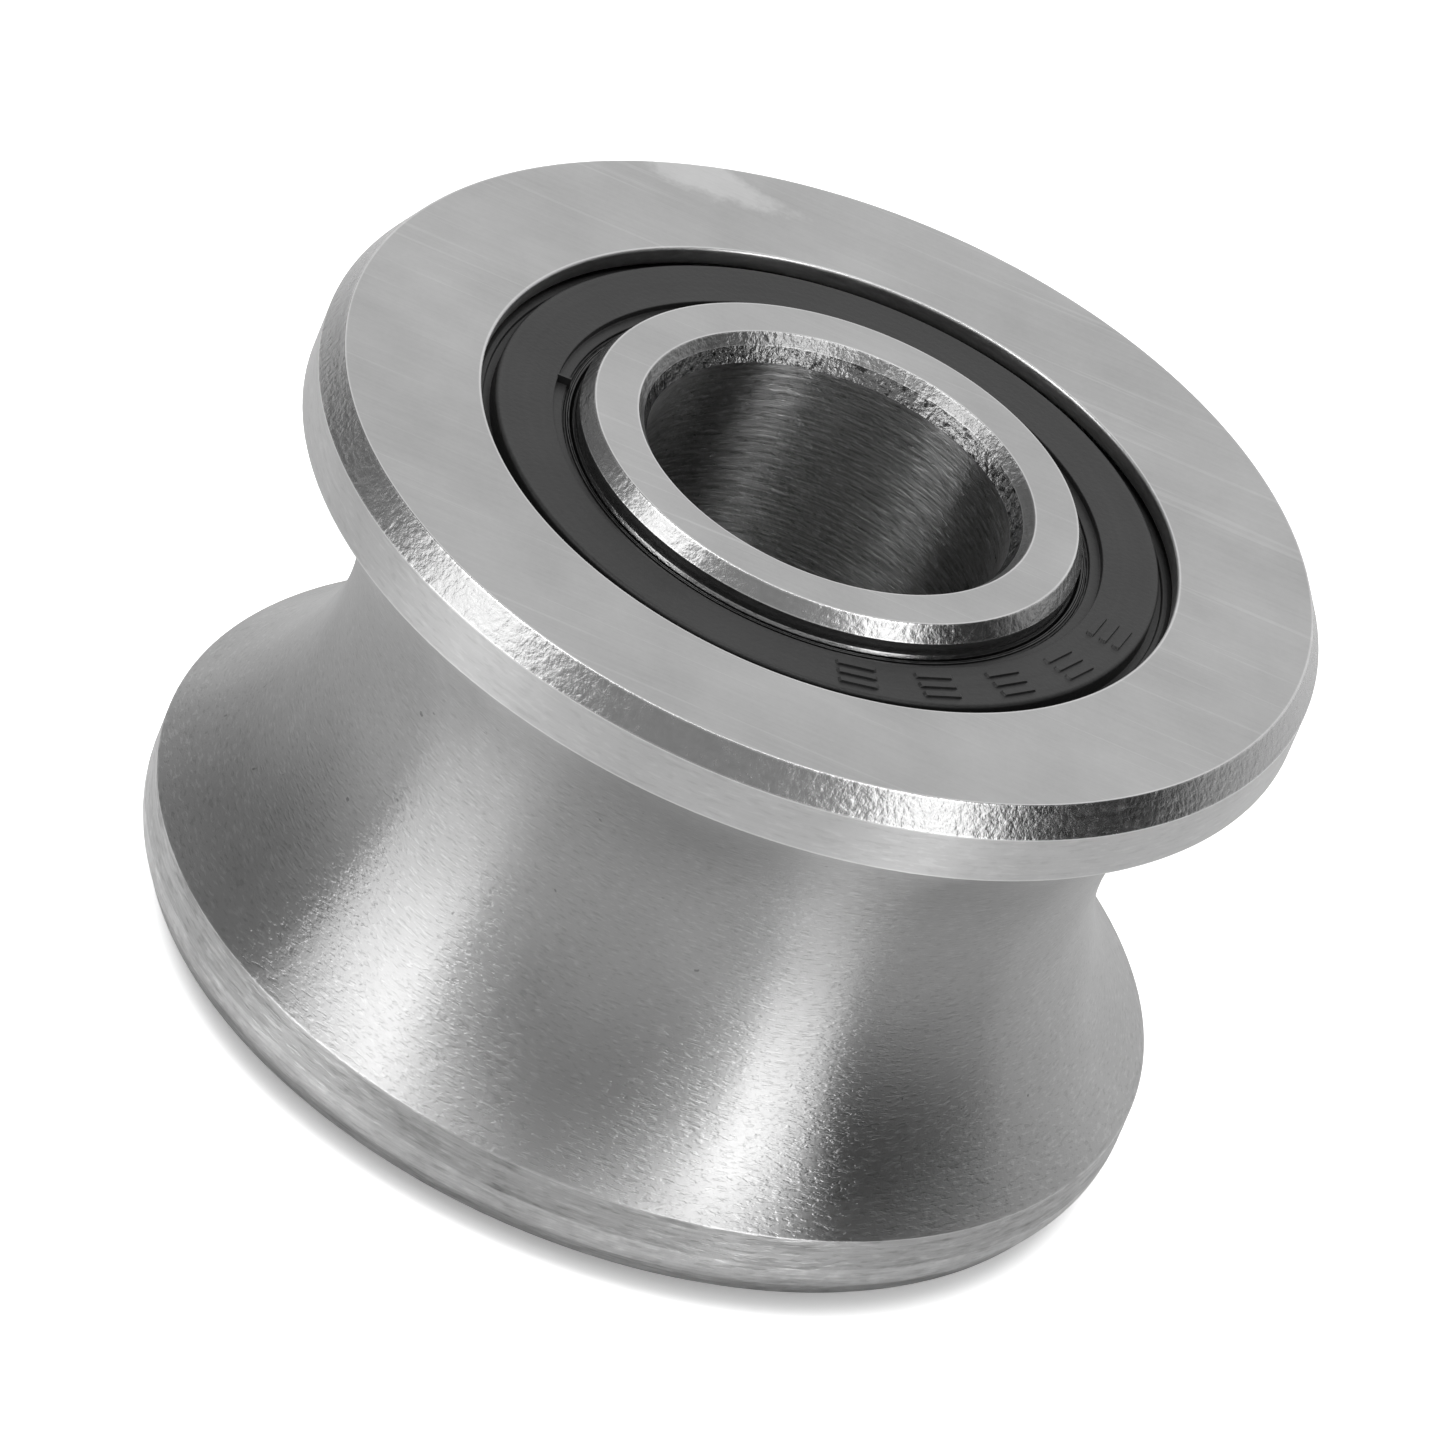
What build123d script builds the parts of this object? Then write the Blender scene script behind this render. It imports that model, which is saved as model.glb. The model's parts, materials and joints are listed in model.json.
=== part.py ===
from build123d import *
import os
from math import cos, degrees, asin, radians, sin, sqrt

# A sealed cam follower of the track roller kind: a thick outer ring, with a round U-groove in
# its rim, turns on two rows of balls about a plain inner ring that is clamped on an 8 mm stud.
# Sizes are in millimetres. The origin is the centre of the bore, and +Z runs along the bore
# towards the front face. A section is drawn with x as the radius and y as the height above
# the middle of the bearing. The rear half mirrors the front half.

# ---- driving dimensions ----
outer_diameter = 22.0
outer_width = 13.2
bore_diameter = 8.0
inner_width = 14.0
rail_diameter = 12.0          # the round rail that the groove runs on
groove_depth = 2.5
ball_diameter = 2.381         # 3/32 inch
balls_per_row = 10
row_offset = 2.9              # from the middle of the bearing to the centre of each row
pitch_radius = 6.37           # from the bore's axis to a ball's centre
raceway_play = 0.03           # between a ball and each raceway
raceway_conformity = 0.52     # raceway radius over ball diameter

# ---- outer ring ----
rim_radius = outer_diameter / 2
half_width = outer_width / 2
rim_chamfer_radial = 0.36
rim_chamfer_axial = 0.64
groove_radius = rail_diameter / 2
neck_radius = rim_radius - groove_depth
groove_centre = neck_radius + groove_radius
groove_half_width = sqrt(groove_radius**2 - (groove_centre - rim_radius) ** 2)
groove_half_angle = degrees(asin(groove_half_width / groove_radius))
groove_edge_round = 0.08
recess_radius = 7.65          # the opening in each face that shows the seal
recess_edge_break = 0.06
outer_land_radius = 7.2       # the ring's own bore, beside and between the raceways
bead_seat_radius = 7.85
bead_seat_mouth = half_width - 0.38
bead_seat_top = half_width - 0.48
bead_seat_bottom = half_width - 0.8
ledge_height = half_width - 1.05

# ---- inner ring ----
bore_radius = bore_diameter / 2
inner_half_width = inner_width / 2
inner_land_radius = 5.53
inner_chamfer_radial = 0.215
inner_chamfer_axial = 0.36
lead_in_radius = 4.356        # where the bore's lead-in meets the face
lead_in_waist_radius = 4.16
lead_in_waist_depth = 0.385
lead_in_depth = 0.56
lip_seat_radius = 5.3
lip_seat_top = 6.14
lip_seat_bottom = 5.35
lip_seat_slope = 0.12

# ---- balls and raceways ----
ball_radius = ball_diameter / 2
raceway_radius = ball_diameter * raceway_conformity
outer_raceway_bottom = pitch_radius + ball_radius + raceway_play
inner_raceway_bottom = pitch_radius - ball_radius - raceway_play
outer_raceway_reach = sqrt(
    raceway_radius**2 - (outer_land_radius - outer_raceway_bottom + raceway_radius) ** 2
)
inner_raceway_reach = sqrt(
    raceway_radius**2 - (inner_raceway_bottom + raceway_radius - inner_land_radius) ** 2
)
ball_pitch_angle = 360 / balls_per_row

# ---- cages ----
cage_inner_radius = 5.78
cage_outer_radius = 6.96
pocket_play = 0.06
back_thickness = 0.7
claw_reach = 0.55             # how far the claws close round a ball, past its centre
claw_gap_width = 0.5
claw_gap_depth = 0.8

# ---- seals ----
seal_face_height = half_width - 0.15
seal_face_radius = 7.3
seal_face_round = 0.08
bead_groove_floor = half_width - 0.56
bead_crest_height = half_width - 0.48
bead_crest_inner_radius = 7.47
bead_crest_outer_radius = 7.58
step_radius = 6.04
step_height = half_width - 0.3
lip_groove_outer_radius = 5.8
lip_groove_inner_radius = 5.71
lip_groove_floor = half_width - 0.38
lip_radius = 5.62
lip_edge_height = half_width - 0.33
lip_root_height = half_width - 0.46
lip_tip_radius = 5.38
lip_tip_height = half_width - 0.88
lip_tip_thickness = 0.1

# ---- seal inserts ----
insert_top = half_width - 0.6
insert_thickness = 0.22
insert_bottom = insert_top - insert_thickness
insert_inner_radius = 5.95
insert_outer_radius = 7.35
insert_flange_end = half_width - 1.02


def half_section(side):
    """The plane of a half section: x is the radius, y runs towards this side's face."""
    return Plane(origin=(0, 0, 0), x_dir=(1, 0, 0), z_dir=(0, -side, 0))


def ball_places(side):
    """Ball centres of one row. The rear row stands half a ball pitch round from the front."""
    turn = 0 if side > 0 else ball_pitch_angle / 2
    angles = [radians(turn + index * ball_pitch_angle) for index in range(balls_per_row)]
    return [(pitch_radius * cos(a), pitch_radius * sin(a), side * row_offset) for a in angles]


def write(builder, name):
    builder.part.label = name
    export_step(builder.part, f"parts/{name}.step")


os.makedirs("parts", exist_ok=True)

# outer ring: grooved rim, a seal seat in each face, and two raceways
with BuildPart() as outer_ring:
    with BuildSketch(Plane.XZ) as outer_section:
        with BuildLine():
            CenterArc(
                (groove_centre, 0), groove_radius, 180 - groove_half_angle, 2 * groove_half_angle
            )
            Polyline(
                (rim_radius, groove_half_width),
                (rim_radius, half_width - rim_chamfer_axial),
                (rim_radius - rim_chamfer_radial, half_width),
                (recess_radius + recess_edge_break, half_width),
                (recess_radius, half_width - recess_edge_break),
                (recess_radius, bead_seat_mouth),
                (bead_seat_radius, bead_seat_top),
                (bead_seat_radius, bead_seat_bottom),
                (recess_radius, ledge_height),
                (outer_land_radius, ledge_height),
                (outer_land_radius, row_offset + outer_raceway_reach),
            )
            ThreePointArc(
                (outer_land_radius, row_offset + outer_raceway_reach),
                (outer_raceway_bottom, row_offset),
                (outer_land_radius, row_offset - outer_raceway_reach),
            )
            Line((outer_land_radius, row_offset - outer_raceway_reach), (outer_land_radius, 0))
            mirror(about=Plane.XZ)
        make_face()
        groove_edges = outer_section.vertices().group_by(Axis.X)[-1]
        fillet(groove_edges.sort_by(Axis.Y)[1:3], groove_edge_round)
    revolve(axis=Axis.Z)
write(outer_ring, "outer_ring")

# inner ring: plain bore with lead-ins, two raceways, and a seat for each seal lip
with BuildPart() as inner_ring:
    with BuildSketch(Plane.XZ):
        with BuildLine():
            Polyline(
                (bore_radius, 0),
                (bore_radius, inner_half_width - lead_in_depth),
                (lead_in_waist_radius, inner_half_width - lead_in_waist_depth),
                (lead_in_radius, inner_half_width),
                (inner_land_radius - inner_chamfer_radial, inner_half_width),
                (inner_land_radius, inner_half_width - inner_chamfer_axial),
                (inner_land_radius, lip_seat_top),
                (lip_seat_radius, lip_seat_top - lip_seat_slope),
                (lip_seat_radius, lip_seat_bottom + lip_seat_slope),
                (inner_land_radius, lip_seat_bottom),
                (inner_land_radius, row_offset + inner_raceway_reach),
            )
            ThreePointArc(
                (inner_land_radius, row_offset + inner_raceway_reach),
                (inner_raceway_bottom, row_offset),
                (inner_land_radius, row_offset - inner_raceway_reach),
            )
            Line((inner_land_radius, row_offset - inner_raceway_reach), (inner_land_radius, 0))
            mirror(about=Plane.XZ)
        make_face()
    revolve(axis=Axis.Z)
write(inner_ring, "inner_ring")

for side, side_name in ((1, "front"), (-1, "rear")):
    # rubber seal: a bead snapped into the outer ring, a flat face, and a lip on the inner ring
    with BuildPart() as seal_rubber:
        with BuildSketch(half_section(side)) as seal_section:
            with BuildLine():
                Polyline(
                    (step_radius, seal_face_height),
                    (seal_face_radius, seal_face_height),
                    (seal_face_radius, bead_groove_floor),
                    (bead_crest_inner_radius, bead_groove_floor),
                    (bead_crest_inner_radius, bead_crest_height),
                    (bead_crest_outer_radius, bead_crest_height),
                    (bead_seat_radius, bead_seat_top - (bead_seat_mouth - bead_seat_top)),
                    (bead_seat_radius, bead_seat_bottom),
                    (recess_radius, ledge_height),
                    (insert_outer_radius, ledge_height),
                    (insert_outer_radius, insert_top),
                    (insert_inner_radius, insert_top),
                    (insert_inner_radius, insert_bottom),
                    (lip_radius, insert_bottom),
                    (lip_tip_radius, lip_tip_height - lip_tip_thickness),
                    (lip_tip_radius, lip_tip_height),
                    (lip_radius, lip_root_height),
                    (lip_radius, lip_edge_height),
                    (lip_groove_inner_radius, lip_edge_height),
                    (lip_groove_inner_radius, lip_groove_floor),
                    (lip_groove_outer_radius, lip_groove_floor),
                    (lip_groove_outer_radius, step_height),
                    (step_radius, step_height),
                    close=True,
                )
            make_face()
            face_corners = seal_section.vertices().group_by(Axis.Y)[-1]
            fillet(face_corners.sort_by(Axis.X)[-1], seal_face_round)
        revolve(axis=Axis.Z)
    write(seal_rubber, f"{side_name}_seal_rubber")

    # pressed steel washer with a turned-in flange, bonded under the rubber
    with BuildPart() as seal_insert:
        with BuildSketch(half_section(side)):
            with BuildLine():
                Polyline(
                    (insert_inner_radius, insert_top),
                    (insert_outer_radius, insert_top),
                    (insert_outer_radius, insert_flange_end),
                    (insert_outer_radius - insert_thickness, insert_flange_end),
                    (insert_outer_radius - insert_thickness, insert_bottom),
                    (insert_inner_radius, insert_bottom),
                    close=True,
                )
            make_face()
        revolve(axis=Axis.Z)
    write(seal_insert, f"{side_name}_seal_insert")

    # moulded crown cage: a back ring beside the seal, and claws that snap round each ball
    back_height = row_offset + ball_radius + back_thickness
    claw_height = row_offset - claw_reach
    with BuildPart() as cage:
        with BuildSketch(half_section(side)):
            with Locations(((cage_inner_radius + cage_outer_radius) / 2, claw_height)):
                Rectangle(
                    cage_outer_radius - cage_inner_radius,
                    back_height - claw_height,
                    align=(Align.CENTER, Align.MIN),
                )
        revolve(axis=Axis.Z)
        with Locations(*ball_places(side)):
            Sphere(ball_radius + pocket_play, mode=Mode.SUBTRACT)
        first_gap = ball_pitch_angle / 2 if side > 0 else 0
        with Locations((0, 0, side * claw_height)):
            with PolarLocations(pitch_radius, balls_per_row, start_angle=first_gap):
                Box(cage_outer_radius, claw_gap_width, 2 * claw_gap_depth, mode=Mode.SUBTRACT)
    write(cage, f"{side_name}_cage")

    for number, place in enumerate(ball_places(side), start=1):
        with BuildPart() as ball:
            with Locations(place):
                Sphere(ball_radius)
        write(ball, f"{side_name}_ball_{number:02d}")
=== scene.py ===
import json
import math
import bpy
from mathutils import Matrix, Vector


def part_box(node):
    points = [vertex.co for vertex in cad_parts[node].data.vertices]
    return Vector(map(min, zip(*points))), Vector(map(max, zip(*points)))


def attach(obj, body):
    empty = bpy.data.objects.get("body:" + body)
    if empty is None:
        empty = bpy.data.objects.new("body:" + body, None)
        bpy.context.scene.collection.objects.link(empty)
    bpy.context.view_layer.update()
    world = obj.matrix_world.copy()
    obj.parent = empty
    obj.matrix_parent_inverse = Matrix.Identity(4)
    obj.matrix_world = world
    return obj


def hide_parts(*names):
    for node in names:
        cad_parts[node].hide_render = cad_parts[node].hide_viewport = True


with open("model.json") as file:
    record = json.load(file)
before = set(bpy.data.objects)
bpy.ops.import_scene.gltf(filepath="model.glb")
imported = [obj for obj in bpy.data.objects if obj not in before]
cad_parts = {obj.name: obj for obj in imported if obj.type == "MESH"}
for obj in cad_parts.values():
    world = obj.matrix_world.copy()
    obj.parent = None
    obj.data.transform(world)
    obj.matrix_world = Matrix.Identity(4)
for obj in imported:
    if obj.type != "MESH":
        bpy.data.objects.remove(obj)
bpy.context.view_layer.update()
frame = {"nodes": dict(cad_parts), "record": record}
nodes = frame["nodes"]
mm = 0.001                  # the frame is in metres, the sizes below in mm
print("frame loaded:", len(nodes), "nodes")

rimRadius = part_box("outer_ring")[1].x
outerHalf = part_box("outer_ring")[1].z
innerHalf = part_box("inner_ring")[1].z
boreRadius = frame["record"]["mounts"][0]["dims"]["r_mm"] * mm
rowHeight = 2.9 * mm        # of each row of balls, from the middle
trackHalf = 0.9 * mm        # half the width of a ball track

cameraSet = {
    "elevation": 33.32,     # degrees above the roller's faces
    "roll": 22.84,          # how far the roller's axis leans to the right
    "lens": 472.8,
    "distance": 0.3941,
    "right": 2.26 * mm,     # where the middle of the front face sits in the view
    "above": 5.10 * mm,
    "clip": (0.01, 10),
}


def placeCamera(s):
    e, roll = math.radians(s["elevation"]), math.radians(s["roll"])
    ahead = Vector((0, math.cos(e), -math.sin(e)))
    level, rise = Vector((1, 0, 0)), Vector((0, math.sin(e), math.cos(e)))
    right = level * math.cos(roll) + rise * math.sin(roll)
    up = rise * math.cos(roll) - level * math.sin(roll)
    aim = Vector((0, 0, outerHalf)) - right * s["right"] - up * s["above"]
    camera = bpy.data.objects.new("camera", bpy.data.cameras.new("camera"))
    bpy.context.scene.collection.objects.link(camera)
    camera.data.lens = s["lens"]
    camera.data.clip_start, camera.data.clip_end = s["clip"]
    camera.location = aim - ahead * s["distance"]
    camera.rotation_euler = Matrix((right, up, -ahead)).transposed().to_euler()
    bpy.context.scene.camera = camera


roomSet = {
    "floorSize": 3.0,
    "floorColor": 0.93,
    "floorGlow": 0.28,      # keeps the shadow faint
    "floorShadeInSteel": 0.39,   # the floor as the steel mirrors it, darker than the white floor: painted shade in the reflections
    "shadeDiscUnderBore": 0.01,      # a near-black patch below the bore, seen only in reflections: painted shade in the bore
    "roughness": 0.9,
    "roughnessInSteel": 0.22,
    # brightness round the roller by degrees from +X, with a dark doorway either side of 0
    "walls": [(0, 0.01), (10, 0.03), (24, 0.40), (60, 0.74), (90, 0.88), (104, 0.86), (118, 0.62),
              (130, 0.28), (145, 0.18), (165, 0.16), (185, 0.28), (270, 0.33), (318, 0.40),
              (328, 0.10), (338, 0.01), (360, 0.01)],
    # two windows, on top of the walls
    "windows": [(0, 0), (192, 0), (198, 0.80), (224, 0.80), (230, 0),
                (305, 0), (311, 1), (327, 1), (332, 0), (360, 0)],
    "windowLow": 1.65,      # at the horizon
    "windowHigh": 4.9,      # straight up
    "ceiling": 0.9,
    "ceilingEdge": [(0.96, 0), (0.995, 1)],     # where the walls give way to it, 1 is straight up
}

def link(tree, a, b):
    tree.links.new(a, b)


def maths(tree, operation, a, b=None, clamp=False):
    node = tree.nodes.new("ShaderNodeMath")
    node.operation, node.use_clamp = operation, clamp
    for socket, value in zip(node.inputs, (a, b)):
        if isinstance(value, (int, float)):
            socket.default_value = value
        elif value is not None:
            link(tree, value, socket)
    return node.outputs[0]


def vectorMaths(tree, operation, a, b=None):
    node = tree.nodes.new("ShaderNodeVectorMath")
    node.operation = operation
    sockets = (node.inputs[0], node.inputs["Scale"] if operation == "SCALE" else node.inputs[1])
    for socket, value in zip(sockets, (a, b)):
        if isinstance(value, (tuple, Vector)):
            socket.default_value = value
        elif value is not None:
            link(tree, value, socket)
    return node.outputs["Value" if operation in ("LENGTH", "DOT_PRODUCT") else "Vector"]


def mapRange(tree, value, low, high, toLow, toHigh):
    node = tree.nodes.new("ShaderNodeMapRange")
    for socket, number in zip(list(node.inputs)[1:5], (low, high, toLow, toHigh)):
        socket.default_value = number
    link(tree, value, node.inputs[0])
    return node.outputs[0]


def ramp(tree, value, stops, interpolation="LINEAR"):
    node = tree.nodes.new("ShaderNodeValToRGB")
    node.color_ramp.interpolation = interpolation
    elements = node.color_ramp.elements
    while len(elements) < len(stops):
        elements.new(0.5)
    for element, (place, level) in zip(elements, stops):
        element.position = place
        element.color = (level, level, level, 1)
    link(tree, value, node.inputs["Fac"])
    return node.outputs["Color"]


def mixTones(tree, factor, tone, level):
    node = tree.nodes.new("ShaderNodeMix")
    node.data_type = "RGBA"
    link(tree, factor, node.inputs["Factor"])
    link(tree, tone, node.inputs["A"])
    node.inputs["B"].default_value = (level, level, level, 1)
    return node.outputs["Result"]


# a round sheet, with a hole in it if the hole has a radius
def makeFloor(name, size, hole, height, tone, roughness, around=96):
    corners = []
    for i in range(around):
        a = 2 * math.pi * i / around
        corners += [(r * math.cos(a), r * math.sin(a), height) for r in (hole, size / 2)]
    last = 2 * around
    faces = [(k, k + 1, (k + 3) % last, (k + 2) % last) for k in range(0, last, 2)]
    mesh = bpy.data.meshes.new(name)
    mesh.from_pydata(corners, [], faces if hole else [tuple(range(1, last, 2))])
    floor = bpy.data.objects.new(name, mesh)
    bpy.context.scene.collection.objects.link(floor)
    paint = bpy.data.materials.new(name)
    paint.use_nodes = True
    shader = paint.node_tree.nodes["Principled BSDF"]
    shader.inputs["Base Color"].default_value = (tone, tone, tone, 1)
    shader.inputs["Roughness"].default_value = roughness
    shader.inputs["Specular IOR Level"].default_value = 0.0
    mesh.materials.append(paint)
    return floor


def makeRoom(s):
    world = bpy.data.worlds.new("room")
    world.use_nodes = True
    bpy.context.scene.world = world
    tree = world.node_tree
    tree.nodes.clear()
    direction = tree.nodes.new("ShaderNodeTexCoord").outputs["Generated"]
    split = tree.nodes.new("ShaderNodeSeparateXYZ")
    link(tree, direction, split.inputs[0])
    azimuth = maths(tree, "ARCTAN2", split.outputs["Y"], split.outputs["X"])
    share = maths(tree, "FRACT", maths(tree, "ADD", maths(tree, "DIVIDE", azimuth, 2 * math.pi), 1))
    height = mapRange(tree, split.outputs["Z"], -1, 1, 0, 1)
    walls = ramp(tree, share, [(degrees / 360, level) for degrees, level in s["walls"]], "EASE")
    inside = mixTones(tree, ramp(tree, height, s["ceilingEdge"], "EASE"), walls, s["ceiling"])
    windows = ramp(tree, share, [(degrees / 360, level) for degrees, level in s["windows"]], "EASE")
    squared = maths(tree, "POWER", split.outputs["Z"], 2)
    gain = mapRange(tree, squared, 0, 1, s["windowLow"], s["windowHigh"])
    seen = vectorMaths(tree, "ADD", inside, vectorMaths(tree, "SCALE", windows, gain))
    background = tree.nodes.new("ShaderNodeBackground")
    link(tree, seen, background.inputs["Color"])
    out = tree.nodes.new("ShaderNodeOutputWorld")
    link(tree, background.outputs[0], out.inputs["Surface"])

    # the camera sees a white floor, the steel mirrors a greyer and glossier one lying on it; the greyer one
    # is painted shade that only reflections see
    floor = makeFloor("floor", s["floorSize"], 0, -innerHalf, s["floorColor"], s["roughness"])
    floor.visible_glossy = False
    paper = floor.data.materials[0].node_tree.nodes["Principled BSDF"]
    paper.inputs["Emission Color"].default_value = (1, 1, 1, 1)
    paper.inputs["Emission Strength"].default_value = s["floorGlow"]
    above = -innerHalf + 0.001 * mm
    # a darker copy of the floor that only reflections see: painted shade
    mirrored = makeFloor("mirroredFloor", s["floorSize"], boreRadius, above, s["floorShadeInSteel"],
                         s["roughnessInSteel"])
    # a near-black disc below the bore, seen only in reflections: painted shade inside the bore
    shadeDiscUnderBore = makeFloor("shadeDiscUnderBore", 2 * boreRadius, 0, above, s["shadeDiscUnderBore"], s["roughness"])
    for sheet in (mirrored, shadeDiscUnderBore):
        sheet.visible_camera = False
        sheet.visible_diffuse = False
        sheet.visible_shadow = False
    gloss = mirrored.data.materials[0].node_tree.nodes["Principled BSDF"]
    gloss.inputs["Specular IOR Level"].default_value = 1.0


lightSet = {
    "overhead": {"azimuth": 90, "elevation": 80, "distance": 0.9, "size": 0.9, "power": 12},
    # lifts the floor just beside the rear rim
    "leftGlow": {"azimuth": 180, "elevation": 0, "distance": 16 * mm, "size": 6 * mm, "power": 0.0012},
}


def placeLights(lights):
    for name, s in lights.items():
        lamp = bpy.data.lights.new(name, "AREA")
        lamp.shape = "SQUARE"
        lamp.size = s["size"]
        lamp.energy = s["power"]
        light = bpy.data.objects.new(name, lamp)
        bpy.context.scene.collection.objects.link(light)
        a, e = math.radians(s["azimuth"]), math.radians(s["elevation"])
        away = Vector((math.cos(e) * math.cos(a), math.cos(e) * math.sin(a), math.sin(e)))
        light.location = away * s["distance"]
        light.rotation_euler = away.to_track_quat("Z", "Y").to_euler()
        light.visible_glossy = False
        light.visible_camera = False


placeCamera(cameraSet)
makeRoom(roomSet)
placeLights(lightSet)
bpy.context.scene.view_settings.view_transform = "Standard"
print("camera, room and lights placed")


def newMaterial(name):
    material = bpy.data.materials.new(name)
    material.use_nodes = True
    material.node_tree.nodes.clear()
    tree = material.node_tree
    shader = tree.nodes.new("ShaderNodeBsdfPrincipled")
    out = tree.nodes.new("ShaderNodeOutputMaterial")
    link(tree, shader.outputs[0], out.inputs["Surface"])
    return material, tree, shader


def noise(tree, vector, scale, detail=2.0, rough=0.5):
    node = tree.nodes.new("ShaderNodeTexNoise")
    node.inputs["Scale"].default_value = scale
    node.inputs["Detail"].default_value = detail
    node.inputs["Roughness"].default_value = rough
    link(tree, vector, node.inputs["Vector"])
    return node.outputs["Fac"]


def place(tree):
    return tree.nodes.new("ShaderNodeTexCoord").outputs["Object"]


# changes slowly round the axis and fast along the run, for marks left by turning
def lathePlace(tree, run, around, along):
    position = place(tree)
    split = tree.nodes.new("ShaderNodeSeparateXYZ")
    link(tree, position, split.inputs[0])
    flat = vectorMaths(tree, "MULTIPLY", position, (1, 1, 0))
    towards = vectorMaths(tree, "NORMALIZE", flat)
    towards = vectorMaths(tree, "MULTIPLY", towards, (around, around, 0))
    distance = split.outputs["Z"] if run == "height" else vectorMaths(tree, "LENGTH", flat)
    join = tree.nodes.new("ShaderNodeCombineXYZ")
    link(tree, maths(tree, "MULTIPLY", distance, along / mm), join.inputs["Z"])
    return vectorMaths(tree, "ADD", towards, join.outputs[0])


# stretched along one direction in the face, for hairlines
def straightPlace(tree, degrees, across, along):
    node = tree.nodes.new("ShaderNodeMapping")
    node.inputs["Rotation"].default_value = (0, 0, math.radians(degrees))
    node.inputs["Scale"].default_value = (along / mm, across / mm, 1 / mm)
    link(tree, place(tree), node.inputs["Vector"])
    return node.outputs[0]


def grainPlace(tree, perMm):
    return vectorMaths(tree, "MULTIPLY", place(tree), (perMm / mm,) * 3)


# sum of value times weight: noise counts from its middle, a mask (third item 0) from nothing
def addUp(tree, terms):
    total = None
    for value, weight, *middle in terms:
        part = maths(tree, "MULTIPLY", maths(tree, "SUBTRACT", value, middle[0] if middle else 0.5), weight)
        total = part if total is None else maths(tree, "ADD", total, part)
    return total


# base colour, roughness and bump, each a number that varies over the surface
def paintShader(tree, shader, s, tone, roughness, height):
    # rounded edges are painted lighter: a painted highlight along the edges, partly edge wear
    if s.get("wearAndHighlight"):
        worn = tree.nodes.new("ShaderNodeAttribute")
        worn.attribute_name = "edgeWearAndHighlight"
        patchy = mapRange(tree, noise(tree, grainPlace(tree, 2.5), 1, 2), 0.35, 0.6, 0.2, s["wearAndHighlight"])
        tone = maths(tree, "ADD", tone, maths(tree, "MULTIPLY", worn.outputs["Fac"], patchy))
    base = maths(tree, "ADD", tone, s["tone"], clamp=True)
    grey = tree.nodes.new("ShaderNodeCombineColor")
    for channel in ("Red", "Green", "Blue"):
        link(tree, base, grey.inputs[channel])
    link(tree, grey.outputs[0], shader.inputs["Base Color"])
    link(tree, maths(tree, "ADD", roughness, s["roughness"], clamp=True), shader.inputs["Roughness"])
    bump = tree.nodes.new("ShaderNodeBump")
    bump.inputs["Strength"].default_value = 1.0
    bump.inputs["Distance"].default_value = s["relief"] * mm
    link(tree, height, bump.inputs["Height"])
    link(tree, bump.outputs[0], shader.inputs["Normal"])
    shader.inputs["Metallic"].default_value = s["metallic"]
    shader.inputs["Specular IOR Level"].default_value = s.get("specular", 0.5)
    if s.get("anisotropy"):
        shader.inputs["Anisotropic"].default_value = s["anisotropy"]
        shader.inputs["Anisotropic Rotation"].default_value = 0.25
        tangent = tree.nodes.new("ShaderNodeTangent")
        tangent.direction_type, tangent.axis = "RADIAL", "Z"
        link(tree, tangent.outputs[0], shader.inputs["Tangent"])


# in every finish: tone and roughness, relief in mm, how much lighter the rounded edges are painted (a
# painted edge highlight, partly edge wear)
groundFace = {
    "tone": 0.495, "roughness": 0.35, "relief": 0.004, "metallic": 1.0, "wearAndHighlight": 0.25,
    # each kind of line: degrees in the face, then how fine across it and along it, per mm
    "hairlines": (17, 14, 0.35),
    "crossing": (-38, 11, 0.3),
    "scratches": (15, 7, 0.09),
    "rareScratches": (41, 6, 0.12),
    "smudgeAt": (-4.9 * mm, 8.9 * mm, outerHalf),
    "smudgeStretch": (0.62, 1.7, 1),
    "smudgeRagged": 1.9 * mm,
    "smudgeEdge": (1.7 * mm, 2.2 * mm),
}


def makeGroundFace(s):
    material, tree, shader = newMaterial("groundFace")
    hairlines = noise(tree, straightPlace(tree, *s["hairlines"]), 1, 3)
    crossing = noise(tree, straightPlace(tree, *s["crossing"]), 1, 3)
    scratches = ramp(tree, noise(tree, straightPlace(tree, *s["scratches"]), 1, 1), [(0.66, 0), (0.70, 1)])
    rare = ramp(tree, noise(tree, straightPlace(tree, *s["rareScratches"]), 1, 1), [(0.70, 0), (0.73, 1)])
    clouds = noise(tree, grainPlace(tree, 0.4), 1, 3)
    grain = noise(tree, grainPlace(tree, 9), 1, 2)
    fromSmudge = vectorMaths(tree, "SUBTRACT", place(tree), s["smudgeAt"])
    reach = vectorMaths(tree, "LENGTH", vectorMaths(tree, "MULTIPLY", fromSmudge, s["smudgeStretch"]))
    ragged = maths(tree, "MULTIPLY", noise(tree, grainPlace(tree, 1.3), 1, 6, 0.65), s["smudgeRagged"])
    smudge = mapRange(tree, maths(tree, "ADD", reach, ragged), *s["smudgeEdge"], 1, 0)
    paintShader(tree, shader, s,
                addUp(tree, [(hairlines, 0.07), (crossing, 0.04), (clouds, 0.22), (grain, 0.04),
                             (scratches, 0.04, 0), (rare, 0.04, 0), (smudge, 0.15, 0)]),
                addUp(tree, [(hairlines, 0.12), (clouds, 0.12)]),
                addUp(tree, [(hairlines, 0.8), (crossing, 0.5), (grain, 0.6),
                             (scratches, 0.4, 0), (rare, 0.4, 0)]))
    return material


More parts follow.
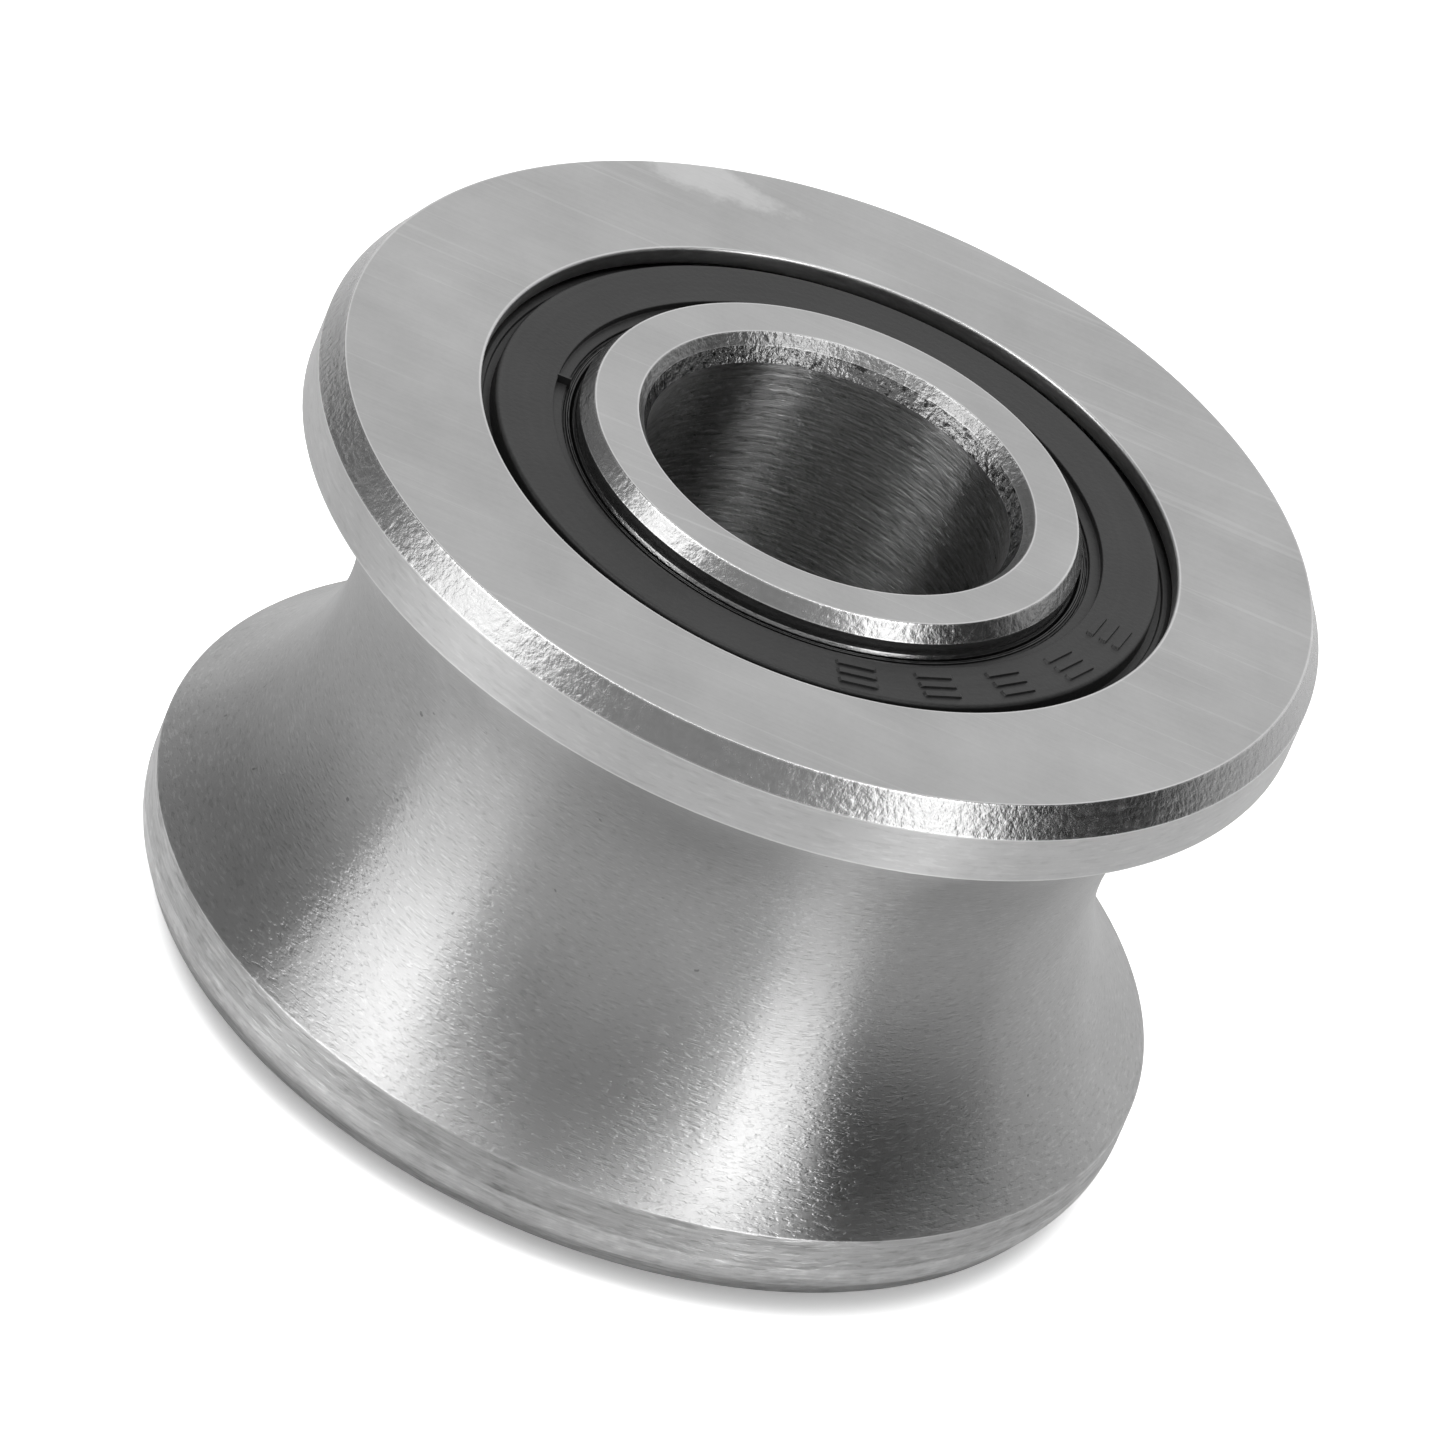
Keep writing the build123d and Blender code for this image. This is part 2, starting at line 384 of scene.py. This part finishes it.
# "lines" and "dashes" left by turning: how much they change the tone, then the relief
turnedGroove = {
    "tone": 0.52, "roughness": 0.32, "relief": 0.004, "metallic": 1.0, "anisotropy": 1.0, "wearAndHighlight": 0.06,
    "lines": (0.03, 0.3), "dashes": (0.07, 0.65), "dashTurns": 40, "dashFine": 20,
    "clouds": 0.14, "specks": 0.22,
}
turnedLand = {
    "tone": 0.62, "roughness": 0.33, "relief": 0.003, "metallic": 1.0, "anisotropy": 0.7, "wearAndHighlight": 0.2,
    "lines": (0.10, 0.5), "dashes": (0.05, 0.5), "clouds": 0.16,
}
scuffedLand = {
    "tone": 0.60, "roughness": 0.36, "relief": 0.006, "metallic": 1.0, "anisotropy": 0.6, "wearAndHighlight": 0.12,
    "lines": (0.34, 1.0), "lineTurns": 5, "dashes": (0.10, 0.9), "clouds": 0.20, "scuffs": 0.13,
}
shoulder = {
    "tone": 0.46, "roughness": 0.22, "relief": 0.003, "metallic": 1.0, "anisotropy": 0.2, "wearAndHighlight": 0.2,
    "lines": (0.10, 0.6), "dashes": (0.05, 0.5), "clouds": 0.1,
}
honedBore = {
    "tone": 0.48, "roughness": 0.305, "relief": 0.008, "metallic": 1.0, "anisotropy": 1.0,
    "lines": (0.45, 2.0), "lineTurns": 5, "dashes": (0.10, 0.4), "dashTurns": 14, "clouds": 0.06,
}
pressedInsert = {
    "tone": 0.50, "roughness": 0.35, "relief": 0.004, "metallic": 1.0, "anisotropy": 0.3,
    "lines": (0.06, 0.4), "dashes": (0.03, 0.3), "clouds": 0.1,
}


def makeTurned(name, s):
    material, tree, shader = newMaterial(name)
    lines = noise(tree, lathePlace(tree, "height", s.get("lineTurns", 3), 14), 1, 3)
    dashes = noise(tree, lathePlace(tree, "height", s.get("dashTurns", 24), s.get("dashFine", 11)), 1, 2)
    harm = []
    if s.get("specks"):
        specks = ramp(tree, noise(tree, grainPlace(tree, 3.2), 1, 2), [(0.755, 0), (0.785, 1)])
        harm.append((specks, -s["specks"], 0))
    if s.get("scuffs"):
        scuffs = ramp(tree, noise(tree, lathePlace(tree, "height", 6, 4), 1, 4, 0.6), [(0.54, 0), (0.63, 1)])
        harm.append((scuffs, -s["scuffs"], 0))
    raised = ramp(tree, dashes, [(0.57, 0), (0.67, 1)])
    sunk = ramp(tree, dashes, [(0.33, 1), (0.43, 0)])
    clouds = noise(tree, grainPlace(tree, 0.45), 1, 3)
    grain = noise(tree, grainPlace(tree, 11), 1, 2)
    lineTone, lineRelief = s["lines"]
    dashTone, dashRelief = s["dashes"]
    paintShader(tree, shader, s,
                addUp(tree, [(lines, lineTone), (raised, dashTone, 0), (sunk, -dashTone, 0),
                             (clouds, s["clouds"]), (grain, 0.03), *harm]),
                addUp(tree, [(lines, 0.06), (dashes, 0.08), (grain, 0.06)]),
                addUp(tree, [(lines, lineRelief), (raised, dashRelief, 0), (sunk, -dashRelief, 0),
                             (grain, 0.5)]))
    return material


roughChamfer = {"tone": 0.53, "roughness": 0.25, "relief": 0.018, "metallic": 1.0, "wearAndHighlight": 0.3}
pittedEdge = {"tone": 0.36, "roughness": 0.22, "relief": 0.05, "metallic": 1.0, "pitted": 0.28}
dulledCone = {"tone": 0.40, "roughness": 0.34, "relief": 0.035, "metallic": 1.0, "wearAndHighlight": 0.2}


def makeChamfer(name, s):
    material, tree, shader = newMaterial(name)
    pits = noise(tree, grainPlace(tree, 7.5), 1, 3, 0.6)
    dents = noise(tree, grainPlace(tree, 3.5), 1, 2)
    lines = noise(tree, lathePlace(tree, "height", 6, 9), 1, 2)
    holes = ramp(tree, noise(tree, grainPlace(tree, 6), 1, 2), [(0.57, 0), (0.63, 1)])
    paintShader(tree, shader, s,
                addUp(tree, [(pits, 0.05), (lines, 0.06), (dents, 0.06), (holes, -s.get("pitted", 0), 0)]),
                addUp(tree, [(pits, 0.12), (dents, 0.1)]),
                addUp(tree, [(pits, 0.8), (dents, 0.7), (lines, 0.3)]))
    return material


mouldedRubber = {"tone": 0.014, "roughness": 0.42, "relief": 0.006, "metallic": 0.0, "specular": 0.36}
wipedRubber = {"tone": 0.012, "roughness": 0.20, "relief": 0.002, "metallic": 0.0, "specular": 0.6}


def makeRubber(name, s):
    material, tree, shader = newMaterial(name)
    grain = noise(tree, grainPlace(tree, 9), 1, 3)
    clouds = noise(tree, grainPlace(tree, 0.6), 1, 2)
    rings = noise(tree, lathePlace(tree, "radius", 1.0, 7), 1, 2)
    paintShader(tree, shader, s,
                addUp(tree, [(grain, 0.010), (clouds, 0.010), (rings, 0.006)]),
                addUp(tree, [(grain, 0.10), (clouds, 0.12)]),
                addUp(tree, [(grain, 1.0), (rings, 0.5)]))
    return material


rolledBall = {"tone": 0.60, "roughness": 0.10, "relief": 0.001, "metallic": 1.0}


def makeBall(s):
    material, tree, shader = newMaterial("rolledBall")
    haze = noise(tree, grainPlace(tree, 1.2), 1, 3)
    track = noise(tree, lathePlace(tree, "height", 2, 9), 1, 2)
    paintShader(tree, shader, s,
                addUp(tree, [(haze, 0.08), (track, 0.05)]),
                addUp(tree, [(haze, 0.10), (track, 0.06)]),
                addUp(tree, [(track, 1.0)]))
    return material


cageNylon = {"tint": (0.50, 0.43, 0.31), "tone": 1.0, "roughness": 0.45, "relief": 0.010, "metallic": 0.0}


def makeNylon(s):
    material, tree, shader = newMaterial("cageNylon")
    grain = noise(tree, grainPlace(tree, 8), 1, 3)
    clouds = noise(tree, grainPlace(tree, 0.7), 1, 3)
    paintShader(tree, shader, s,
                addUp(tree, [(grain, 0.10), (clouds, 0.25)]),
                addUp(tree, [(grain, 0.12), (clouds, 0.14)]),
                addUp(tree, [(grain, 1.0)]))
    tinted = tree.nodes.new("ShaderNodeMix")
    tinted.data_type, tinted.blend_type = "RGBA", "MULTIPLY"
    tinted.inputs["Factor"].default_value = 1
    tinted.inputs["A"].default_value = (*s["tint"], 1)
    link(tree, shader.inputs["Base Color"].links[0].from_socket, tinted.inputs["B"])
    link(tree, tinted.outputs["Result"], shader.inputs["Base Color"])
    return material


finishes = {
    "groundFace": makeGroundFace(groundFace),
    "turnedGroove": makeTurned("turnedGroove", turnedGroove),
    "turnedLand": makeTurned("turnedLand", turnedLand),
    "scuffedLand": makeTurned("scuffedLand", scuffedLand),
    "shoulder": makeTurned("shoulder", shoulder),
    "rolledBall": makeBall(rolledBall),
    "pressedInsert": makeTurned("pressedInsert", pressedInsert),
    "cageNylon": makeNylon(cageNylon),
    "honedBore": makeTurned("honedBore", honedBore),
    "roughChamfer": makeChamfer("roughChamfer", roughChamfer),
    "pittedEdge": makeChamfer("pittedEdge", pittedEdge),
    "dulledCone": makeChamfer("dulledCone", dulledCone),
    "mouldedRubber": makeRubber("mouldedRubber", mouldedRubber),
    "wipedRubber": makeRubber("wipedRubber", wipedRubber),
}
print("materials made:", len(finishes))


# corners are (radius, height, rounding, finish of the run that follows); the points beside each
# rounding keep the lighter edge narrow, a painted edge highlight that is partly edge wear
def roundedOutline(corners, steps=5, beside=0.03 * mm):
    points = []
    for i, (r, z, rounding, finish) in enumerate(corners):
        here = Vector((r, z))
        before, after = Vector(corners[i - 1][:2]), Vector(corners[(i + 1) % len(corners)][:2])
        arriving = corners[i - 1][3]
        if not rounding:
            points.append((here, finish, 0))
            continue
        a, b = (before - here).normalized(), (after - here).normalized()
        half = a.angle(b) / 2
        reach = rounding / math.tan(half)
        centre = here + (a + b).normalized() * (rounding / math.sin(half))
        start, end = here + a * reach - centre, here + b * reach - centre
        points.append((centre + start + a * beside, arriving, 0))
        for k in range(steps + 1):
            mixed = start.lerp(end, k / steps).normalized() * rounding
            points.append((centre + mixed, arriving if k < steps / 2 else finish, 1))
        points.append((centre + end + b * beside, finish, 0))
    return points


# mirrors the upper half's corners below; the first and last lie on the middle plane
def bothHalves(upper):
    last = len(upper) - 1
    lower = [(upper[i][0], -upper[i][1], upper[i][2], upper[i - 1][3]) for i in range(last - 1, 0, -1)]
    middle = (*upper[last][:3], upper[last - 1][3])
    return upper[:last] + [middle] + lower


# spins an outline round the axis: a grid gets one row for each run of the outline
def turningTree(finishNames):
    tree = bpy.data.node_groups.new("turning", "GeometryNodeTree")
    faces = tree.interface
    faces.new_socket("Outline", in_out="INPUT", socket_type="NodeSocketGeometry")
    faces.new_socket("Steps Around", in_out="INPUT", socket_type="NodeSocketInt")
    faces.new_socket("Geometry", in_out="OUTPUT", socket_type="NodeSocketGeometry")

    def add(kind, **settings):
        node = tree.nodes.new(kind)
        for key, value in settings.items():
            setattr(node, key, value)
        return node

    def attribute(name, kind):
        node = add("GeometryNodeInputNamedAttribute", data_type=kind)
        node.inputs["Name"].default_value = name
        return node.outputs["Attribute"]

    def fromOutline(field, kind, index):
        node = add("GeometryNodeSampleIndex", data_type=kind, domain="POINT")
        link(tree, given.outputs["Outline"], node.inputs["Geometry"])
        link(tree, field, node.inputs["Value"])
        link(tree, index, node.inputs["Index"])
        return node.outputs[0]

    def keep(geometry, name, kind, domain, value):
        node = add("GeometryNodeStoreNamedAttribute", data_type=kind, domain=domain)
        node.inputs["Name"].default_value = name
        link(tree, geometry, node.inputs["Geometry"])
        link(tree, value, node.inputs["Value"])
        return node.outputs[0]

    def separate(vector):
        node = add("ShaderNodeSeparateXYZ")
        link(tree, vector, node.inputs[0])
        return node.outputs

    given, made = add("NodeGroupInput"), add("NodeGroupOutput")
    size = add("GeometryNodeAttributeDomainSize")
    link(tree, given.outputs["Outline"], size.inputs[0])
    count = size.outputs["Point Count"]
    grid = add("GeometryNodeMeshGrid")
    grid.inputs["Size X"].default_value = 1
    grid.inputs["Size Y"].default_value = 1
    link(tree, maths(tree, "ADD", given.outputs["Steps Around"], 1), grid.inputs["Vertices X"])
    link(tree, maths(tree, "ADD", count, 1), grid.inputs["Vertices Y"])
    here = separate(add("GeometryNodeInputPosition").outputs[0])
    turn = maths(tree, "MULTIPLY", maths(tree, "ADD", here["X"], 0.5), 2 * math.pi)
    row = maths(tree, "MULTIPLY", maths(tree, "ADD", here["Y"], 0.5), count)

    # each face takes the finish of its own run of the outline
    run = fromOutline(attribute("finish", "INT"), "INT", maths(tree, "FLOOR", row))
    sheet = keep(grid.outputs["Mesh"], "finish", "INT", "FACE", run)

    # each point goes to its place on the outline, turned round the axis
    nearest = maths(tree, "MODULO", maths(tree, "ROUND", row), count)
    sheet = keep(sheet, "edgeWearAndHighlight", "FLOAT", "POINT",
                 fromOutline(attribute("edgeWearAndHighlight", "FLOAT"), "FLOAT", nearest))
    position = add("GeometryNodeInputPosition").outputs[0]
    spot = separate(fromOutline(position, "FLOAT_VECTOR", nearest))
    goal = add("ShaderNodeCombineXYZ")
    link(tree, maths(tree, "MULTIPLY", spot["X"], maths(tree, "COSINE", turn)), goal.inputs["X"])
    link(tree, maths(tree, "MULTIPLY", spot["X"], maths(tree, "SINE", turn)), goal.inputs["Y"])
    link(tree, spot["Z"], goal.inputs["Z"])
    move = add("GeometryNodeSetPosition")
    link(tree, sheet, move.inputs["Geometry"])
    link(tree, goal.outputs[0], move.inputs["Position"])
    close = add("GeometryNodeMergeByDistance")
    close.inputs["Distance"].default_value = 0.0001 * mm
    link(tree, move.outputs[0], close.inputs["Geometry"])
    smooth = add("GeometryNodeSetShadeSmooth")
    link(tree, close.outputs[0], smooth.inputs["Geometry"])
    realize = add("GeometryNodeRealizeInstances")
    link(tree, smooth.outputs[0], realize.inputs[0])
    last = realize.outputs[0]
    for number, name in enumerate(finishNames):
        same = add("FunctionNodeCompare", data_type="INT", operation="EQUAL")
        link(tree, attribute("finish", "INT"), same.inputs["A"])
        same.inputs["B"].default_value = number
        coat = add("GeometryNodeSetMaterial")
        coat.inputs["Material"].default_value = finishes[name]
        link(tree, last, coat.inputs["Geometry"])
        link(tree, same.outputs[0], coat.inputs["Selection"])
        last = coat.outputs[0]
    link(tree, last, made.inputs[0])
    return tree


# the evaluated shape as a plain mesh object; the one that held the modifiers goes
def asPlainMesh(obj, name):
    seen = obj.evaluated_get(bpy.context.evaluated_depsgraph_get())
    mesh = bpy.data.meshes.new_from_object(seen)
    mesh.name = name
    plain = bpy.data.objects.new(name, mesh)
    bpy.context.scene.collection.objects.link(plain)
    bpy.data.objects.remove(obj)
    return plain


def setInput(modifier, label, value):
    for item in modifier.node_group.interface.items_tree:
        if item.item_type == "SOCKET" and item.in_out == "INPUT" and item.name == label:
            modifier[item.identifier] = value


# short raised bars stacked outwards, at even steps round the seal
def marksTree(s):
    tree = bpy.data.node_groups.new("mouldedMarks", "GeometryNodeTree")
    faces = tree.interface
    faces.new_socket("Seal", in_out="INPUT", socket_type="NodeSocketGeometry")
    for label, kind in (("Marks", "Int"), ("Bars", "Int"), ("First Angle", "Float"), ("Step", "Float"),
                        ("Inner Radius", "Float"), ("Bar Pitch", "Float"), ("Face Height", "Float")):
        faces.new_socket(label, in_out="INPUT", socket_type="NodeSocket" + kind)
    faces.new_socket("Geometry", in_out="OUTPUT", socket_type="NodeSocketGeometry")
    given, made = tree.nodes.new("NodeGroupInput"), tree.nodes.new("NodeGroupOutput")
    inputs = given.outputs

    total = maths(tree, "MULTIPLY", inputs["Marks"], inputs["Bars"])
    points = tree.nodes.new("GeometryNodePoints")
    link(tree, total, points.inputs["Count"])
    index = tree.nodes.new("GeometryNodeInputIndex").outputs[0]
    mark = maths(tree, "FLOOR", maths(tree, "DIVIDE", index, inputs["Bars"]))
    bar = maths(tree, "MODULO", index, inputs["Bars"])
    angle = maths(tree, "ADD", inputs["First Angle"], maths(tree, "MULTIPLY", mark, inputs["Step"]))
    radius = maths(tree, "ADD", inputs["Inner Radius"], maths(tree, "MULTIPLY", bar, inputs["Bar Pitch"]))
    spot = tree.nodes.new("ShaderNodeCombineXYZ")
    link(tree, maths(tree, "MULTIPLY", radius, maths(tree, "COSINE", angle)), spot.inputs["X"])
    link(tree, maths(tree, "MULTIPLY", radius, maths(tree, "SINE", angle)), spot.inputs["Y"])
    link(tree, inputs["Face Height"], spot.inputs["Z"])
    link(tree, spot.outputs[0], points.inputs["Position"])

    outline = tree.nodes.new("GeometryNodeCurvePrimitiveQuadrilateral")
    outline.inputs["Width"].default_value = s["bar"][1]
    outline.inputs["Height"].default_value = s["bar"][0]
    rounded = tree.nodes.new("GeometryNodeFilletCurve")
    rounded.mode = "POLY"
    rounded.inputs["Count"].default_value = 4
    rounded.inputs["Radius"].default_value = s["corner"]
    link(tree, outline.outputs[0], rounded.inputs["Curve"])
    fill = tree.nodes.new("GeometryNodeFillCurve")
    fill.mode = "NGONS"
    link(tree, rounded.outputs[0], fill.inputs["Curve"])
    rise = tree.nodes.new("GeometryNodeExtrudeMesh")
    rise.inputs["Offset Scale"].default_value = s["height"] + s["sunk"]
    link(tree, fill.outputs[0], rise.inputs["Mesh"])
    taper = tree.nodes.new("GeometryNodeScaleElements")
    taper.inputs["Scale"].default_value = s["taper"]
    link(tree, rise.outputs["Mesh"], taper.inputs["Geometry"])
    link(tree, rise.outputs["Top"], taper.inputs["Selection"])
    spread = tree.nodes.new("GeometryNodeInstanceOnPoints")
    link(tree, points.outputs[0], spread.inputs["Points"])
    link(tree, taper.outputs[0], spread.inputs["Instance"])
    turn = tree.nodes.new("ShaderNodeCombineXYZ")
    link(tree, angle, turn.inputs["Z"])
    link(tree, turn.outputs[0], spread.inputs["Rotation"])
    join = tree.nodes.new("GeometryNodeJoinGeometry")
    link(tree, inputs["Seal"], join.inputs[0])
    coat = tree.nodes.new("GeometryNodeSetMaterial")
    coat.inputs["Material"].default_value = finishes["mouldedRubber"]
    realize = tree.nodes.new("GeometryNodeRealizeInstances")
    link(tree, spread.outputs[0], realize.inputs[0])
    link(tree, realize.outputs[0], coat.inputs["Geometry"])
    link(tree, coat.outputs[0], join.inputs[0])
    link(tree, join.outputs[0], made.inputs[0])
    return tree


def turnPiece(name, corners, around, marks=()):
    finishNames = sorted({corner[3] for corner in corners})
    points = roundedOutline(corners)
    mesh = bpy.data.meshes.new(name + "Outline")
    last = len(points)
    mesh.from_pydata([(p.x, 0, p.y) for p, _, _ in points], [(i, (i + 1) % last) for i in range(last)], [])
    runs = [finishNames.index(finish) for _, finish, _ in points]
    edges = [float(onEdge) for _, _, onEdge in points]
    mesh.attributes.new("finish", "INT", "POINT").data.foreach_set("value", runs)
    mesh.attributes.new("edgeWearAndHighlight", "FLOAT", "POINT").data.foreach_set("value", edges)
    blank = bpy.data.objects.new(name + "Blank", mesh)
    bpy.context.scene.collection.objects.link(blank)
    modifier = blank.modifiers.new("turning", "NODES")
    modifier.node_group = turningTree(finishNames)
    setInput(modifier, "Steps Around", around)
    for s in marks:
        stamp = blank.modifiers.new("marks", "NODES")
        stamp.node_group = marksTree(s)
        for label, value in s["inputs"].items():
            setInput(stamp, label, value)
    return asPlainMesh(blank, name)


# corners along an arc, both ends included; angles in degrees
def arcCorners(centre, radius, start, end, count, finish):
    angles = [math.radians(start + (end - start) * i / count) for i in range(count + 1)]
    return [(centre[0] + radius * math.cos(a), centre[1] + radius * math.sin(a), 0, finish) for a in angles]


outerSet = {
    "chamfer": (0.36 * mm, 0.64 * mm),      # radial, axial
    "edge": 0.03 * mm,                      # rounding of the chamfer's edges
    "grooveRadius": 6.0 * mm,
    "grooveDepth": 2.5 * mm,
    "grooveEdge": 0.025 * mm,
    "sealOpening": 7.65 * mm,
    "openingEdge": 0.05 * mm,
    # the seal's seat: outwards from the opening, then down from the face
    "sealSeat": [(0, 0.38 * mm), (0.2 * mm, 0.48 * mm), (0.2 * mm, 0.8 * mm), (0, 1.05 * mm)],
    "inside": 7.2 * mm,
    "trackBottom": 7.59 * mm,
    "rearRounding": 1.1 * mm,               # the rear edge is worn round
    "around": 384,
}


def makeOuterRing(s):
    r, h, g = rimRadius, outerHalf, s["grooveRadius"]
    chamferOut, chamferDown = s["chamfer"]
    centre = r - s["grooveDepth"] + g
    reach = math.degrees(math.acos((centre - r) / g))
    groove = arcCorners((centre, 0), g, 180, 180 - reach, 36, "turnedGroove")
    groove[-1] = (*groove[-1][:2], s["grooveEdge"], "turnedLand")
    opening, inside = s["sealOpening"], s["inside"]
    upper = groove + [
        (r, h - chamferDown, s["edge"], "roughChamfer"),
        (r - chamferOut, h, s["edge"], "groundFace"),
        (opening, h, s["openingEdge"], "turnedLand"),
        *[(opening + out, h - down, 0, "turnedLand") for out, down in s["sealSeat"]],
        (inside, h - s["sealSeat"][-1][1], 0, "turnedLand"),
        (inside, rowHeight + trackHalf, 0, "turnedLand"),
        (s["trackBottom"], rowHeight, 0, "turnedLand"),
        (inside, rowHeight - trackHalf, 0, "turnedLand"),
        (inside, 0, 0, "turnedLand"),
    ]
    rearCorner = (r, chamferDown - h)
    nearRim = r - s["grooveDepth"] / 2
    corners = []
    for radius, height, rounding, finish in bothHalves(upper):
        if (radius, height) == rearCorner:
            rounding = s["rearRounding"]
        if radius > nearRim and height < 0 and finish in ("turnedLand", "roughChamfer"):
            finish = "scuffedLand"
        corners.append((radius, height, rounding, finish))
    ring = turnPiece("outerRing", corners, s["around"])
    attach(ring, "roller")
    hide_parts("outer_ring")
    return ring


innerSet = {
    "land": 5.53 * mm,
    "trackBottom": 5.15 * mm,
    # the groove the seal's lip runs in and the ledge above it: radius, height, rounding
    "lipGroove": [(5.53 * mm, 5.35 * mm, 0), (5.3 * mm, 5.47 * mm, 0), (5.3 * mm, 6.02 * mm, 0)],
    "ledge": [(5.565 * mm, 6.15 * mm, 0.02 * mm), (5.565 * mm, 6.27 * mm, 0.01 * mm),
              (5.53 * mm, 6.34 * mm, 0.01 * mm)],
    "chamfer": (0.215 * mm, 0.36 * mm),     # radial, axial
    "edge": 0.03 * mm,
    # the lead-in to the bore: radius, then down from the face
    "leadIn": [(4.356 * mm, 0), (4.166 * mm, 0.23 * mm), (4.0 * mm, 0.56 * mm)],
    "leadInEdge": 0.02 * mm,
    "around": 320,
}


def makeInnerRing(s):
    h, land = innerHalf, s["land"]
    chamferOut, chamferDown = s["chamfer"]
    outside, middle, inside = s["leadIn"]
    upper = [
        (land, 0, 0, "shoulder"),
        (land, rowHeight - trackHalf, 0, "shoulder"),
        (s["trackBottom"], rowHeight, 0, "shoulder"),
        (land, rowHeight + trackHalf, 0, "shoulder"),
        *[(*corner, "shoulder") for corner in s["lipGroove"] + s["ledge"]],
        (land, h - chamferDown, s["edge"], "roughChamfer"),
        (land - chamferOut, h, s["edge"], "groundFace"),
        (outside[0], h - outside[1], s["edge"], "dulledCone"),
        (middle[0], h - middle[1], s["leadInEdge"], "pittedEdge"),
        (inside[0], h - inside[1], s["leadInEdge"], "honedBore"),
        (boreRadius, 0, 0, "honedBore"),
    ]
    ring = turnPiece("innerRing", bothHalves(upper), s["around"])
    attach(ring, "inner_ring")
    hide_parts("inner_ring")
    return ring


sealSet = {
    # radius, depth below the outer ring's face and rounding, all in mm
    "outline": [
        (7.35, 1.05, 0), (7.65, 1.05, 0), (7.85, 0.8, 0), (7.85, 0.58, 0),      # bead in the seat
        (7.58, 0.48, 0.03), (7.47, 0.48, 0.03), (7.47, 0.56, 0.02),
        (7.3, 0.56, 0.02), (7.3, 0.15, 0.08), (6.04, 0.15, 0.02),               # flat face
        (6.04, 0.3, 0.02), (5.8, 0.3, 0.02), (5.8, 0.38, 0.02), (5.71, 0.38, 0.02),
        (5.71, 0.33, 0.02), (5.62, 0.33, 0.03), (5.62, 0.46, 0.03),             # steps down
        (5.38, 0.88, 0.02), (5.38, 0.98, 0.02), (5.62, 0.82, 0),                # lip
        (5.95, 0.82, 0), (5.95, 0.6, 0), (7.35, 0.6, 0),                        # back, on the insert
    ],
    "wiped": (5.3, 5.75, 0.9),              # smoother between these radii, down to this depth
    "around": 320,
}

marksSet = {
    "bar": (1.0 * mm, 0.19 * mm),           # along the rim, outwards
    "corner": 0.05 * mm,
    "height": 0.05 * mm,
    "sunk": 0.05 * mm,
    "taper": 0.80,
    "inputs": {"Marks": 5, "Bars": 3, "First Angle": math.radians(-72), "Step": math.radians(15.5),
               "Inner Radius": 6.36 * mm, "Bar Pitch": 0.30 * mm,
               "Face Height": outerHalf - 0.20 * mm},
}

flashSet = {                                # a scrap of moulding flash across the step by the lip
    "bar": (0.07 * mm, 0.36 * mm),
    "corner": 0.02 * mm,
    "height": 0.02 * mm,
    "sunk": 0.21 * mm,
    "taper": 0.85,
    "inputs": {"Marks": 1, "Bars": 1, "First Angle": math.radians(-178), "Step": 0.0,
               "Inner Radius": 5.91 * mm, "Bar Pitch": 0.0, "Face Height": outerHalf - 0.36 * mm},
}


def makeSeal(side, name, s, marks=()):
    inside, outside, deep = s["wiped"]
    corners = []
    for r, depth, rounding in s["outline"]:
        finish = "wipedRubber" if inside < r < outside and depth < deep else "mouldedRubber"
        corners.append((r * mm, side * (outerHalf - depth * mm), rounding * mm, finish))
    if side < 0:
        corners.reverse()
    seal = turnPiece(name, corners, s["around"], marks)
    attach(seal, "roller")
    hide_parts("front_seal_rubber" if side > 0 else "rear_seal_rubber")
    return seal


makeOuterRing(outerSet)
makeInnerRing(innerSet)
makeSeal(1, "frontSeal", sealSet, (marksSet, flashSet))
makeSeal(-1, "rearSeal", sealSet)
print("rings and seals turned")

hiddenFinishes = {"ball": "rolledBall", "cage": "cageNylon", "insert": "pressedInsert"}
for name, node in nodes.items():
    for word, finish in hiddenFinishes.items():
        if word in name:
            for slot in node.material_slots:
                slot.material = finishes[finish]
